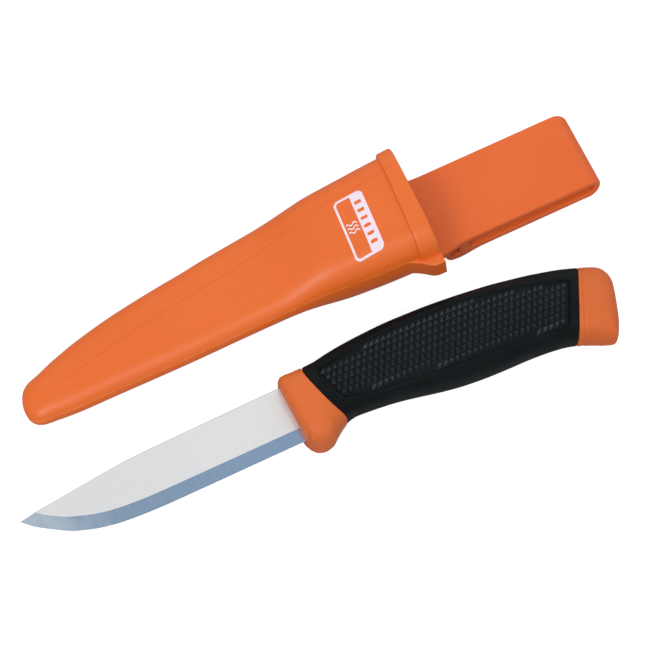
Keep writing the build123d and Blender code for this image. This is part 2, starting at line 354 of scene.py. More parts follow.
def make_blade():
    xs = dense([0.0, 2, 8, 40, 100.5], [18, 36, 64, 60])
    ex = np.linspace(0, 101, 2000)
    ey = f_ed(ex)

    def dist(x, y):
        """Distance in plan from the cutting edge, which sets the ground bevel's height."""
        return float(np.min(np.hypot(ex - x, ey - y)))

    wide = {x: dist(x, float(f_bv(x))) for x in (7.0, 8.0, 10.0, 14.0, 20.0, 30.0, 50.0, 80.0, 100.5)}
    f_w = pchip(list(wide), list(wide.values()))
    rows = []
    for x in xs:
        s, e = float(f_sp(x)), float(f_ed(x))
        w = float(f_w(x))
        zmax = 1.25 * min(1.0, 0.04 + 0.96 * dist(x, s) / w)
        c = min(0.22, 0.3 * (s - e), zmax * 0.3)
        if dist(x, s - c) <= w:
            b = s - c
        elif x >= 7.0:
            b = float(f_bv(x))
        else:
            lo, hi = e, s - c
            for _ in range(30):
                m = (lo + hi) / 2
                lo, hi = (m, hi) if dist(x, m) < w else (lo, m)
            b = lo
        z_at = lambda y: 1.25 * min(1.0, 0.04 + 0.96 * dist(x, y) / w)
        zt = z_at(s - c)
        half = [(s, 0.0), (s, max(zt - c, 0.02)), (s - c, zt)]
        half += [(s - c + (b - s + c) * k / 6, z_at(b) if k == 6 else zt + (z_at(b) - zt) * k / 6) for k in range(1, 7)]
        half += [(b + (e - b) * k / 5, z_at(b + (e - b) * k / 5)) for k in range(1, 6)]
        half += [(e - 0.01, 0.0)]
        ring = half + [(y, -z) for y, z in half[-2:0:-1]]
        rows.append([(x, y, z) for y, z in ring])
    p = np.array(rows)
    nv = p.shape[1]

    def mat(i, j):
        k = min(j, nv - 1 - j)
        return 1 if 8 <= k <= 12 else 0
    b = Build()
    o = b.grid(p, wrap=True, mat=mat)
    b.fan([o + j for j in range(nv)], (-0.03, -24.33, 0), flip=False)
    b.fan([o + (len(xs) - 1) * nv + j for j in range(nv)], (100.5, -29.5, 0), flip=True)
    return b.make("blade_ground", knife, [M_FACE, M_BEVEL], sharp=7, flip=True)


blade = make_blade()
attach(blade, "knife")
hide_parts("blade")

# ---------------------------------------------------------------------------
# handle
# ---------------------------------------------------------------------------
hs = np.array([
    (98.2, -41.5, -17.8, 7.90, 5.2), (99.2, -43.3, -17.1, 9.00, 6.3), (101.0, -45.0, -16.9, 9.60, 6.9),
    (103.5, -45.7, -17.0, 9.90, 7.2), (106.0, -45.2, -17.0, 9.95, 7.35), (109.0, -43.0, -16.7, 9.60, 7.5),
    (112.0, -41.0, -16.4, 9.20, 7.6), (115.0, -39.6, -15.9, 9.05, 7.75), (118.0, -39.1, -15.4, 9.00, 7.9),
    (122.0, -39.4, -14.9, 9.05, 8.1), (127.0, -39.9, -14.5, 9.25, 8.4), (133.0, -40.7, -14.2, 9.60, 8.7),
    (140.0, -42.1, -14.05, 10.00, 9.0), (148.0, -43.9, -14.3, 10.30, 9.2), (156.0, -45.3, -14.7, 10.47, 9.35),
    (164.0, -46.1, -15.4, 10.50, 9.4), (172.0, -46.5, -16.3, 10.35, 9.25), (180.0, -46.7, -17.4, 10.15, 9.05),
    (187.0, -47.2, -18.7, 9.95, 8.8), (193.0, -48.0, -19.9, 9.85, 8.6), (198.0, -49.3, -21.2, 9.75, 8.3),
    (203.0, -51.3, -22.7, 9.60, 7.9), (207.0, -53.4, -24.0, 9.30, 7.5), (210.0, -54.5, -25.0, 8.80, 7.1),
    (213.0, -50.6, -26.2, 8.00, 6.5), (215.5, -45.0, -27.2, 6.90, 5.6), (217.5, -40.0, -28.6, 5.30, 4.4),
    (218.9, -36.3, -30.6, 3.20, 2.7)])
h_lo, h_hi, h_h = (pchip(hs[:, 0], hs[:, k]) for k in (1, 2, 3))
h_n = pchip([97, 101, 106, 114, 140, 195, 205, 219], [4.2, 3.6, 3.1, 2.75, 2.7, 2.7, 3.0, 2.6])
k_of = pchip([98.2, 101, 104, 110.99, 122, 135, 170, 186, 205, 208.65, 212, 216, 218.9],
             [0.0, -0.03, -0.11, -0.262, -0.262, -0.21, 0.2, 0.48, 0.54, 0.528, 0.40, 0.15, 0.0])
c_of = pchip([98.2, 104, 110.99, 118, 130, 200, 208.65, 213], [0.0, 0.9, 2.35, 2.1, 0.3, 0.2, 0.4, 0.0])
Y0 = -29.0


def h_sec(x, th):
    """(y, z) on the handle's skin at x and angle th, 0 on the spine side and pi on the edge side."""
    lo, hi, h, n = h_lo(x), h_hi(x), h_h(x), h_n(x)
    c, s = np.cos(th), np.sin(th)
    y = (lo + hi) / 2 + (hi - lo) / 2 * np.sign(c) * np.abs(c) ** (2 / n)
    z = h * np.sign(s) * np.abs(s) ** (2 / n)
    return y, z


def h_point(xc, th):
    """Skin points of one sheared ring: its middle crosses the centre line at xc."""
    k, c = k_of(xc), c_of(xc)
    x = np.full(np.shape(th), float(xc))
    for _ in range(28):
        y, z = h_sec(x, th)
        nx = np.clip(xc + k * (y - Y0) - c * (z / 9) ** 2, 98.2, 218.9)
        x = x + 0.6 * (nx - x)
    y, z = h_sec(x, th)
    return np.stack([x, y, z], -1)


def normals(p):
    """Unit normals of an (nu, nv, 3) grid wrapped along v, pointing out of the handle."""
    du = np.gradient(p, axis=0)
    dv = np.roll(p, -1, 1) - np.roll(p, 1, 1)
    n = np.cross(dv, du)
    n /= np.maximum(np.linalg.norm(n, axis=2, keepdims=True), 1e-9)
    c = p.mean(1, keepdims=True)
    s = np.sign(((p - c) * n).sum(2).mean())
    return n * (s if s else 1)


def even_angles(n):
    """Angles spread so that ring points are about evenly spaced on a superellipse."""
    th = np.linspace(0, 2 * math.pi, 4001)
    y, z = 14 * np.sign(np.cos(th)) * np.abs(np.cos(th)) ** (2 / 2.7), 10 * np.sign(np.sin(th)) * np.abs(np.sin(th)) ** (2 / 2.7)
    s = np.r_[0, np.cumsum(np.hypot(np.diff(y), np.diff(z)))]
    return np.interp(np.arange(n) / n * s[-1], s, th)


SEAM_F, SEAM_B = 110.99, 208.65


def rounded_ends(p, xcs, a, b, depth, radius):
    """Inward offset near a moulding's two ends a and b: a quarter round that rolls into the seam."""
    out = np.zeros(len(xcs))
    for e in (a, b):
        if e is None:
            continue
        t = np.clip(1 - np.abs(xcs - e) / radius, 0, 1)
        out = np.maximum(out, radius * 0.75 * (1 - np.sqrt(np.clip(1 - t * t, 0, 1))))
    return out


def closed_band(name, xcs, th, mats, offset, drop_a, drop_b, cap_a=None, cap_b=None, sharp=40):
    p = np.array([h_point(x, th) for x in xcs])
    n = normals(p)
    p = p - n * offset(xcs, p)[..., None]
    rings = [p]
    if drop_a:
        first = p[0] - n[0] * np.array(drop_a)[:, None, None]
        rings.insert(0, first[::-1])
    if drop_b:
        rings.append(p[-1] - n[-1] * np.array(drop_b)[:, None, None])
    q = np.concatenate(rings)
    b = Build()
    o = b.grid(q, wrap=True)
    nv = q.shape[1]
    ca = q[0].mean(0) if cap_a is None else cap_a
    cb = q[-1].mean(0) if cap_b is None else cap_b
    b.fan([o + j for j in range(nv)], ca, flip=True)
    b.fan([o + (len(q) - 1) * nv + j for j in range(nv)], cb, flip=False)
    return b, q


def fix_normals(obj):
    import bmesh
    bm = bmesh.new()
    bm.from_mesh(obj.data)
    bmesh.ops.recalc_face_normals(bm, faces=bm.faces)
    bm.to_mesh(obj.data)
    bm.free()
    return obj


def make_guard():
    th = even_angles(120)
    xcs = dense([98.2, 99.2, 101, 107, 110.2, 110.92], [6, 8, 18, 9, 9])
    off = lambda xc, p: (rounded_ends(p, xc, None, 110.92, 0, 0.55) - 0.10 * smooth(104, 109, xc))[:, None] * np.ones(p.shape[1])
    p = np.array([h_point(x, th) for x in xcs])
    n = normals(p)
    p = p - n * off(xcs, p)[..., None]
    # rounded front face: rings drawn in towards the blade
    c = np.array([0, -29.6, 0])
    front = []
    for s, dx in ((0.60, -0.30), (0.90, -0.28), (0.945, -0.22), (0.975, -0.10)):
        r = p[0].copy()
        r[:, 1:] = c[1:] + (r[:, 1:] - c[1:]) * s
        r[:, 0] += dx
        front.append(r)
    back = [p[-1] - n[-1] * d for d in (0.35, 0.9, 1.6)]
    q = np.concatenate([np.array(front), p, np.array(back)])
    b = Build()
    o = b.grid(q, wrap=True)
    nv = q.shape[1]
    b.fan([o + j for j in range(nv)], (97.9, -29.6, 0), flip=True)
    b.fan([o + (len(q) - 1) * nv + j for j in range(nv)], q[-1].mean(0))
    return fix_normals(b.make("guard_moulding", knife, [M_HANDLE], sharp=50))


def make_butt():
    th = even_angles(120)
    xcs = dense([208.72, 209.3, 209.75, 210.6, 211.3, 215, 218.0, 218.9], [7, 4, 8, 4, 16, 16, 10])

    def off(xc, p):
        o = rounded_ends(p, xc, 208.72, None, 0, 0.5)
        # shallow parting groove just behind the seam
        o = o + 0.22 * np.exp(-((xc - 210.15) / 0.20) ** 2) - 0.05
        return o[:, None] * np.ones(p.shape[1])
    p = np.array([h_point(x, th) for x in xcs])
    n = normals(p)
    p = p - n * off(xcs, p)[..., None]
    front = [p[0] - n[0] * d for d in (1.6, 0.9, 0.35)]
    c = p[-1].mean(0)
    back = []
    for s, dx in ((0.86, 0.16), (0.66, 0.30), (0.40, 0.40), (0.18, 0.44)):
        r = c + (p[-1] - c) * s
        r[:, 0] = p[-1][:, 0] + dx
        back.append(r)
    q = np.concatenate([np.array(front), p, np.array(back)])
    b = Build()
    o = b.grid(q, wrap=True)
    nv = q.shape[1]
    b.fan([o + j for j in range(nv)], q[0].mean(0), flip=True)
    b.fan([o + (len(q) - 1) * nv + j for j in range(nv)], (float(q[-1][:, 0].mean()) + 0.02, float(c[1]), 0))
    return fix_normals(b.make("butt_moulding", knife, [M_HANDLE], sharp=50))


# knurled panel, the same on both sides of the grip
p_up = pchip([105, 112.0, 124, 136.1, 156.8, 180.5, 195, 203.6, 210], [-23.6, -22.2, -20.5, -19.8, -20.0, -23.4, -27.5, -30.6, -33.0])
p_dn = pchip([105, 115.6, 130, 146.4, 158, 170.5, 183, 195.8, 205], [-32.0, -34.6, -37.2, -39.7, -41.1, -42.1, -43.4, -45.0, -46.4])
PL, PR = 115.9, 204.4                    # ring positions of the panel's ends


_pa_th = np.linspace(0.03, math.pi - 0.03, 700)


def panel_angles(xc, edge_offs):
    """Angles at which the ring xc meets each (edge curve, outward offset)."""
    q = h_point(xc, _pa_th)
    out = []
    for edge, off in edge_offs:
        g = q[:, 1] - edge(q[:, 0]) - off
        k = int(np.argmax(g < 0))
        t = g[k - 1] / (g[k - 1] - g[k])
        out.append(_pa_th[k - 1] + (_pa_th[k] - _pa_th[k - 1]) * t)
    return out


def make_grip():
    us = [111.06, 111.5, 112.2, 113.2, PL - 1.6, PL - 1.15, PL - 0.7, PL, 120, 135, 150, 165, 180, 195, PR, PR + 0.7, PR + 1.15, PR + 1.6, 207.2, 208.1, 208.58]
    us = sorted(set(np.round(us, 4)))
    st = [max(2, int(round((b - a) / (0.13 if (b - a) < 1.0 else 0.55)))) for a, b in zip(us[:-1], us[1:])]
    xcs = dense(us, st)
    # angles of the panel's edges on a coarse set of rings, interpolated between them
    cx = np.linspace(xcs[0], xcs[-1], 40)
    want = [(p_up, f) for f in (1.6, 1.15, 0.7, 0.0)] + [(p_dn, f) for f in (0.0, -0.7, -1.15, -1.6)]
    table = np.array([panel_angles(x, want) for x in cx])
    lines = [pchip(cx, table[:, k])(xcs) for k in range(len(want))]
    knots = [np.zeros_like(xcs)] + lines + [np.full_like(xcs, math.pi)]
    seg = [14, 4, 4, 5, 44, 5, 4, 4, 14]
    half = [knots[0]]
    for a, b2, n in zip(knots[:-1], knots[1:], seg):
        for t in np.linspace(0, 1, n + 1)[1:]:
            half.append(a + (b2 - a) * t)
    half = np.array(half).T                        # (nu, nh)
    th = np.concatenate([half, (2 * math.pi - half[:, 1:-1])[:, ::-1]], axis=1)
    p = np.array([h_point(x, t) for x, t in zip(xcs, th)])
    n = normals(p)
    # distance inside the panel, in millimetres
    y, x = p[..., 1], p[..., 0]
    e_up = (p_up(x) - y)
    e_dn = (y - p_dn(x))
    e_l = (xcs[:, None] - PL) * np.ones_like(y)
    e_r = (PR - xcs[:, None]) * np.ones_like(y)
    kk = 0.55
    e = -kk * np.log(np.exp(-e_up / kk) + np.exp(-e_dn / kk) + np.exp(-e_l / kk) + np.exp(-e_r / kk))
    e = np.clip(e, -40, 40)
    zz = np.abs(p[..., 2])
    on = (zz > 2.0)
    d = 0.85 * smooth(-0.80, -0.20, e) - 0.26 * np.exp(-((e + 1.15) / 0.26) ** 2)
    d = np.where(on, d, 0.0)
    ends = rounded_ends(p, xcs, xcs[0], xcs[-1], 0, 0.5)
    d = d + ends[:, None] + 0.06
    q = p - n * d[..., None]
    front = np.array([q[0] - n[0] * s for s in (1.5, 0.8, 0.3)])
    back = np.array([q[-1] - n[-1] * s for s in (0.3, 0.8, 1.5)])
    full = np.concatenate([front, q, back])
    b = Build()
    o = b.grid(full, wrap=True, mat=0)
    nv = full.shape[1]
    b.fan([o + j for j in range(nv)], full[0].mean(0), flip=True)
    b.fan([o + (len(full) - 1) * nv + j for j in range(nv)], full[-1].mean(0))
    cover = fix_normals(b.make("grip_cover", knife, [M_GRIP], sharp=60))
    return cover


def skin(x, y, side=1.0):
    """Height of the handle's skin over (x, y), and its outward normal there."""
    def z(x, y):
        lo, hi, h, n = h_lo(x), h_hi(x), h_h(x), h_n(x)
        t = np.clip(np.abs((y - (lo + hi) / 2) / ((hi - lo) / 2)), 0, 0.995)
        return h * (1 - t ** n) ** (1 / n)
    e = 0.05
    zc = z(x, y)
    nx, ny = -(z(x + e, y) - z(x - e, y)) / (2 * e), -(z(x, y + e) - z(x, y - e)) / (2 * e)
    l = np.sqrt(nx * nx + ny * ny + 1)
    return zc, np.array([nx / l, ny / l, 1 / l])


def make_knurl():
    a1, a2 = np.array([2.233, -0.07]), np.array([1.43, 2.58])
    b = Build()
    inset, floor, top, tip = 0.90, 0.86, -0.14, 0.10
    for side in (1.0, -1.0):
        for i in range(-80, 80):
            for j in range(-30, 30):
                c = np.array([160.0, -32.0]) + a1 * i + a2 * j
                if not (110 < c[0] < 210 and -48 < c[1] < -17):
                    continue
                base = [c + (a1 * p + a2 * q) * 0.5 * inset for p, q in ((-1, -1), (1, -1), (1, 1), (-1, 1))]
                peak = [c + (a1 * p + a2 * q) * 0.5 * tip - a2 * 0.05 for p, q in ((-1, -1), (1, -1), (1, 1), (-1, 1))]
                # how far the cell's middle is inside the panel; cells on the edge are lower and run in under the border
                zm, _ = skin(float(c[0]), float(np.clip(c[1], p_dn(c[0]), p_up(c[0]))))
                lean = lambda r: r + float(k_of(r)) * (c[1] - Y0) - float(c_of(r)) * (zm / 9) ** 2
                inside = min(float(p_up(c[0]) - c[1]), float(c[1] - p_dn(c[0])), float(c[0] - lean(PL)), float(lean(PR) - c[0]))
                if inside < 0.30:
                    continue
                low = 0.62 * (1 - min(1.0, (inside - 0.30) / 0.95))
                vs = []
                for m, (x, y) in enumerate(base + peak):
                    zc, nn = skin(float(x), float(y))
                    d = floor + 0.12 if m < 4 else top + low
                    q = np.array([x, y, zc]) - nn * d
                    q[2] *= side
                    vs.append(q)
                o = b.points(vs)
                quads = [(4, 5, 6, 7), (0, 1, 5, 4), (1, 2, 6, 5), (2, 3, 7, 6), (3, 0, 4, 7), (3, 2, 1, 0)]
                for f in quads:
                    f = [o + k for k in f]
                    b.face(f if side > 0 else f[::-1])
    return b.make("grip_knurl", knife, [M_KNURL], sharp=15)


guard = make_guard()
butt = make_butt()
grip = make_grip()
knurl = make_knurl()
for o, s in ((guard, "orange_handle_plastic"), (butt, "orange_handle_plastic"), (grip, "black_soft_grip"), (knurl, "black_soft_grip")):
    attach(o, "knife")
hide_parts("handle_core")
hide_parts("handle_core")
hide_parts("grip_sleeve")

# ---------------------------------------------------------------------------
# sheath body
# ---------------------------------------------------------------------------
ss = np.array([
    (-0.62, 12.6, 14.4), (-0.55, 11.7, 15.2), (-0.35, 10.6, 16.3), (0.0, 9.55, 17.5), (0.7, 8.42, 19.3), (1.5, 7.62, 20.6), (2.5, 7.0, 21.6), (4.0, 6.48, 22.6), (6.0, 6.25, 23.35),
    (8.0, 6.1, 23.95), (11.0, 5.85, 25.1), (14.0, 5.62, 26.3), (18.0, 5.45, 27.6), (22.0, 5.41, 28.9), (27.0, 5.40, 30.2),
    (32.0, 5.36, 31.4), (38.0, 5.29, 32.65), (45.0, 5.2, 33.85), (52.0, 5.15, 34.9), (60.0, 5.12, 35.95), (68.0, 5.2, 36.9),
    (75.0, 5.3, 37.95), (82.0, 5.33, 38.75), (88.0, 5.36, 39.4), (95.0, 5.36, 40.1), (101.0, 5.3, 40.65), (106.0, 5.02, 41.05),
    (111.0, 4.6, 41.45), (117.0, 3.98, 42.05), (124.0, 3.50, 42.5), (132.0, 3.1, 43.0), (138.0, 2.94, 43.45), (144.0, 2.82, 43.8), (151.5, 2.7, 44.1)])
s_lo, s_hi = pchip(ss[:, 0], ss[:, 1]), pchip(ss[:, 0], ss[:, 2])
s_h = pchip([-0.62, -0.55, -0.35, 0.0, 0.7, 1.5, 4, 8, 14, 22, 32, 60, 88, 95, 101, 106, 111, 117, 124, 132, 151.5],
            [0.5, 0.95, 1.55, 2.1, 2.75, 3.35, 4.4, 5.1, 5.4, 5.55, 5.65, 5.75, 5.85, 6.1, 7.4, 9.2, 10.9, 12.1, 12.6, 12.85, 13.0])
s_al = pchip([-1, 4, 14, 60, 95, 111, 124, 152], [3.5, 6.5, 8.5, 9.0, 9.5, 13, 14, 14])
s_nl = pchip([-1, 14, 95, 120, 152], [2.0, 2.1, 2.15, 2.5, 2.6])
s_nu = pchip([-1, 14, 95, 120, 152], [2.0, 2.2, 2.3, 2.6, 2.7])
crease = pchip([2, 6, 13, 31, 47, 63, 79, 92, 101, 108, 116, 124, 132, 143, 152], [13.6, 14.4, 15.7, 19.5, 22.5, 24.9, 27.1, 29.0, 30.5, 31.8, 32.6, 33.0, 33.5, 34.8, 35.6])
ramp_y = pchip([128, 133.5, 137, 140, 143.2, 145.6, 147.6, 148.8, 152], [6.5, 4.9, 4.15, 3.4, 2.0, 0.4, -1.2, -1.85, -1.9])
COLLAR = 145.1


def s_half(x, grow=0.0, wall=0.0, front=True):
    """One half of the sheath's section at x, from the curved side over the face to the straight side: list of (y, z)."""
    lo, hi, h = float(s_lo(x)) - grow + wall, float(s_hi(x)) + grow - wall, float(s_h(x)) + grow - wall
    b = (hi - lo) / 2
    al, au = min(float(s_al(x)) + grow, b), min(max(float(s_hi(x) - crease(x)), 2.0) + grow, b)
    if al + au > 2 * b - 0.05:
        k = (2 * b - 0.05) / (al + au)
        al, au = al * k, au * k
    nl, nu = float(s_nl(x)), float(s_nu(x))
    out = []
    # a small step down along the crease on the front face
    fade = float(smooth(5, 15, x)) if (front and wall == 0) else 0.0
    step, groove = 0.14 * fade, 0.26 * fade
    hu = h - step
    for t in np.linspace(0, 1, 15):
        a = t * math.pi / 2
        out.append((hi - au + au * math.cos(a) ** (2 / nu), hu * math.sin(a) ** (2 / nu)))
    out[-1] = (out[-1][0] + 0.34, hu)
    y1, y2 = out[-1][0] - 0.34, lo + al
    out.append((y1 + 0.16, hu - groove * 0.55))
    out.append((y1, h - groove))
    out.append((y1 - 0.20, h - groove * 0.75))
    out.append((y1 - 0.42, h - 0.02))
    out.append((y1 - 0.60, h))
    for t in np.linspace(0, 1, 9)[1:]:
        out.append((y1 - 0.6 + (y2 - y1 + 0.6) * t, h))
    # straight side, sampled by height so that one line sits on the thumb ramp's edge
    zr = min(4.6, 0.36 * (h + wall))
    ry = float(ramp_y(x)) if x > 128 else 99.0
    zs = [h * math.cos(a) for a in np.linspace(0, math.acos(min(1, (zr + 0.25) / h)), 12)[1:]]
    f = lambda z: lo + al - al * (max(0.0, 1 - (min(z, h) / h) ** nl)) ** (1 / nl)
    for z in zs:
        out.append((f(z), z))
    on = ry < 90 and wall == 0
    y_foot = f(zr)
    g = max(0.0, f(zr) - ry) if on else 0.0
    out.append((y_foot, zr))
    out.append((y_foot - 0.5 * max(0.0, g - 0.35), zr))
    out.append((y_foot - max(0.0, g - 0.35), zr))
    out.append((min(f(zr * 0.95), y_foot - max(0.0, g - 0.1)) if g > 0.35 else f(zr * 0.95), zr * 0.965))
    for t in (0.90, 0.6, 0.3, 0.0):
        z = zr * t
        out.append((min(f(z), ry) if on else f(z), z))
    return out


def s_ring(x, grow=0.0, wall=0.0):
    f = s_half(x, grow, wall, True)
    k = s_half(x, grow, wall, False)
    ring = f + [(y, -z) for y, z in k[-2:0:-1]]
    return np.array([(x, y, z) for y, z in ring])


def lean(ring, amount):
    r = ring.copy()
    r[:, 0] += amount * 0.047 * (r[:, 1] - 22.0)
    return r


def make_sheath():
    xs = -0.62 + 4.62 * (np.linspace(0, 1, 25)) ** 2.4
    xs = np.r_[xs, dense([4, 14, 92, 126, 132, 144.2], [14, 62, 44, 6, 18])[1:]]
    rings = []
    for x in xs:
        rings.append(lean(s_ring(x), float(smooth(134, 144, x))))
    # collar: a rounded step out, a straight land, then the lip rounding in to the mouth
    prof = [(-0.30, 0.0), (-0.05, 0.10), (0.04, 0.55), (0.10, 0.95), (0.25, 1.18), (0.50, 1.30)]
    for dx, g in prof:
        rings.append(lean(s_ring(COLLAR + dx, g), 1.0))
    for x in np.linspace(COLLAR + 1.2, 150.7, 6):
        rings.append(lean(s_ring(x, 1.30), float(1 - smooth(146.5, 150.5, x))))
    for x, g in ((151.05, 1.22), (151.30, 1.05), (151.45, 0.80), (151.5, 0.45)):
        rings.append(s_ring(x, g))
    for x, w in ((151.5, 1.5), (151.42, 1.8), (151.2, 1.97), (150.8, 2.05)):
        rings.append(s_ring(x, 0.0, w))
    for x in dense([149.5, 126, 92, 14, 5.2], [8, 26, 24, 8]):
        rings.append(s_ring(x, 0.0, 2.05 if x > 8 else 2.25))
    q = np.array(rings)
    b = Build()
    o = b.grid(q, wrap=True)
    nv = q.shape[1]
    b.fan([o + j for j in range(nv)], (-0.64, 13.5, 0), flip=True)
    b.fan([o + (len(q) - 1) * nv + j for j in range(nv)], (5.0, float(q[-1][:, 1].mean()), 0))
    return fix_normals(b.make("sheath_shell", sheath, [M_SHEATH], sharp=38))


sheath_shell = make_sheath()
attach(sheath_shell, "sheath")
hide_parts(*[n for n in ("sheath_blade_end", "sheath_mouth_end", "sheath_body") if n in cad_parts])

# ---------------------------------------------------------------------------
# belt loop: strap, fold and spring leaf in one run
# ---------------------------------------------------------------------------
FX, FZ, RO, RI = 210.8, -16.3, 5.3, 2.6
y0_of = pchip([149.5, 151.5, 154.5, 157.5, 161, 164, 230], [6.4, 6.7, 7.1, 7.7, 8.55, 8.9, 8.95])
y1_of = pchip([149.5, 151.5, 151.9, 152.4, 153.1, 154.3, 156.5, 160, 230], [45.0, 43.9, 42.2, 40.9, 40.1, 39.6, 39.35, 39.22, 39.2])


def loop_path():
    """(outer x, outer z, inner x, inner z, y0, y1, edge radius) along the run."""
    rows = []
    for x in dense([149.8, 151.4, 153.4, 157, 166, FX], [4, 14, 12, 14, 40]):
        rows.append((x, -11.0, x, -13.7, float(y0_of(x)), float(y1_of(x)), 0.75))
    for a in np.linspace(90, -90, 41)[1:]:
        c, s = math.cos(math.radians(a)), math.sin(math.radians(a))
        ins = 1.7 * (1 - math.sqrt(max(0.0, 1 - max(0.0, c) ** 2))) if c > 0 else 0.0
        rows.append((FX + RO * c, FZ + RO * s, FX + RI * c, FZ + RI * s, 8.95 + ins * 0.55, 39.2 - ins, 0.75))
    back = pchip([155.9, 156.5, 157.8, 160.6, 163.3, 165.8, 169.5, 172], [-20.9, -21.9, -22.85, -23.3, -22.9, -22.2, -21.65, -21.6])
    front = pchip([155.9, 156.5, 158.0, 160.2, 162, 172], [-20.1, -19.75, -19.55, -19.3, -18.95, -18.9])
    for x in dense([FX, 172, 165, 158.2, 155.95], [36, 12, 14, 10])[1:]:
        rows.append((x, float(back(x)), x, float(front(x)), 9.05, 39.1, min(0.75, (float(front(x)) - float(back(x))) * 0.42)))
    return rows


def make_loop():
    rings = []
    for xo, zo, xi, zi, y0, y1, r in loop_path():
        o, i = np.array([xo, zo]), np.array([xi, zi])
        d = (i - o) / np.linalg.norm(i - o)
        L = np.linalg.norm(i - o)
        r = min(r, L * 0.45)
        ring = []
        cs = [(a, math.cos(math.radians(a)), math.sin(math.radians(a))) for a in (0, 18, 36, 54, 72, 90)]
        for _, c, s in cs:                              # low-y outer corner
            ring.append((y0 + r - r * c, r - r * s))
        for t in np.linspace(0, 1, 13)[1:-1]:
            ring.append((y0 + r + (y1 - y0 - 2 * r) * t, 0.0))
        for _, c, s in cs[::-1]:
            ring.append((y1 - r + r * c, r - r * s))
        for _, c, s in cs:
            ring.append((y1 - r + r * c, L - r + r * s))
        for t in np.linspace(0, 1, 13)[1:-1]:
            ring.append((y1 - r - (y1 - y0 - 2 * r) * t, L))
        for _, c, s in cs[::-1]:
            ring.append((y0 + r - r * c, L - r + r * s))
        pts = [(o[0] + d[0] * q, y, o[1] + d[1] * q) for y, q in ring]
        rings.append(pts)
    q = np.array(rings)
    b = Build()
    s = b.grid(q, wrap=True)
    nv = q.shape[1]
    b.fan([s + j for j in range(nv)], q[0].mean(0), flip=True)
    b.fan([s + (len(q) - 1) * nv + j for j in range(nv)], q[-1].mean(0) + [-0.12, 0, 0])
    return fix_normals(b.make("belt_loop", sheath, [M_STRAP], sharp=45))


belt_loop = make_loop()
tuple(sheath([205.0, 24.0, -13.7]))
tuple(sheath([205.0, 24.0, -18.9]))
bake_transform(belt_loop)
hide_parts("belt_strap", "belt_clip_leaf")


def make_catch():
    """Ridge across the end of the leaf that closes the loop under the strap."""
    prof = [(160.2, -19.3), (160.25, -18.7), (160.55, -17.2), (160.95, -15.6), (161.35, -14.75), (161.9, -14.32), (162.7, -14.22),
            (163.5, -14.32), (164.05, -14.75), (164.5, -15.6), (164.95, -17.2), (165.3, -18.7), (165.4, -19.3)]
    curl = [(158.6, -22.7), (157.2, -22.3), (156.1, -21.3), (155.4, -19.8), (155.1, -18.0), (155.15, -16.4), (155.5, -15.1), (156.1, -14.55),
            (156.8, -14.6), (157.2, -15.2), (157.25, -16.4), (157.05, -17.8), (157.3, -18.9), (158.2, -19.6), (159.6, -19.9)]
    b = Build()
    ys = [9.25, 9.30, 9.42, 9.62, 9.95, 10.6, 24.0, 37.5, 38.15, 38.48, 38.68, 38.80, 38.85]
    ins = [0.75, 0.45, 0.22, 0.08, 0.02, 0.0, 0.0, 0.0, 0.02, 0.08, 0.22, 0.45, 0.75]
    for pr, cx, cz in ((prof, 162.8, -19.3), (curl, 156.6, -18.6)):
        rows = []
        for y, k in zip(ys, ins):
            rows.append([(cx + (x - cx) * (1 - 0.22 * k), y, cz + (z - cz) * (1 - 0.12 * k)) for x, z in pr])
        q = np.array(rows)
        o = b.grid(q, wrap=True)
        nv = q.shape[1]
        b.face([o + j for j in range(nv)][::-1])
        b.face([o + (len(q) - 1) * nv + j for j in range(nv)])
    return fix_normals(b.make("belt_catch", sheath, [M_STRAP], sharp=40))


catch = make_catch()
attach(catch, "belt_clip")

# ---------------------------------------------------------------------------
# printed panel on the sheath: plain frame with bars, no mark
# ---------------------------------------------------------------------------


def sheath_top(x, y):
    pts = np.array(s_half(float(x)))
    k = int(np.argmax(pts[:, 1] > 0))
    ys, zs = pts[:, 0], pts[:, 1]
    o = np.argsort(ys)
    return float(np.interp(y, ys[o], zs[o]))


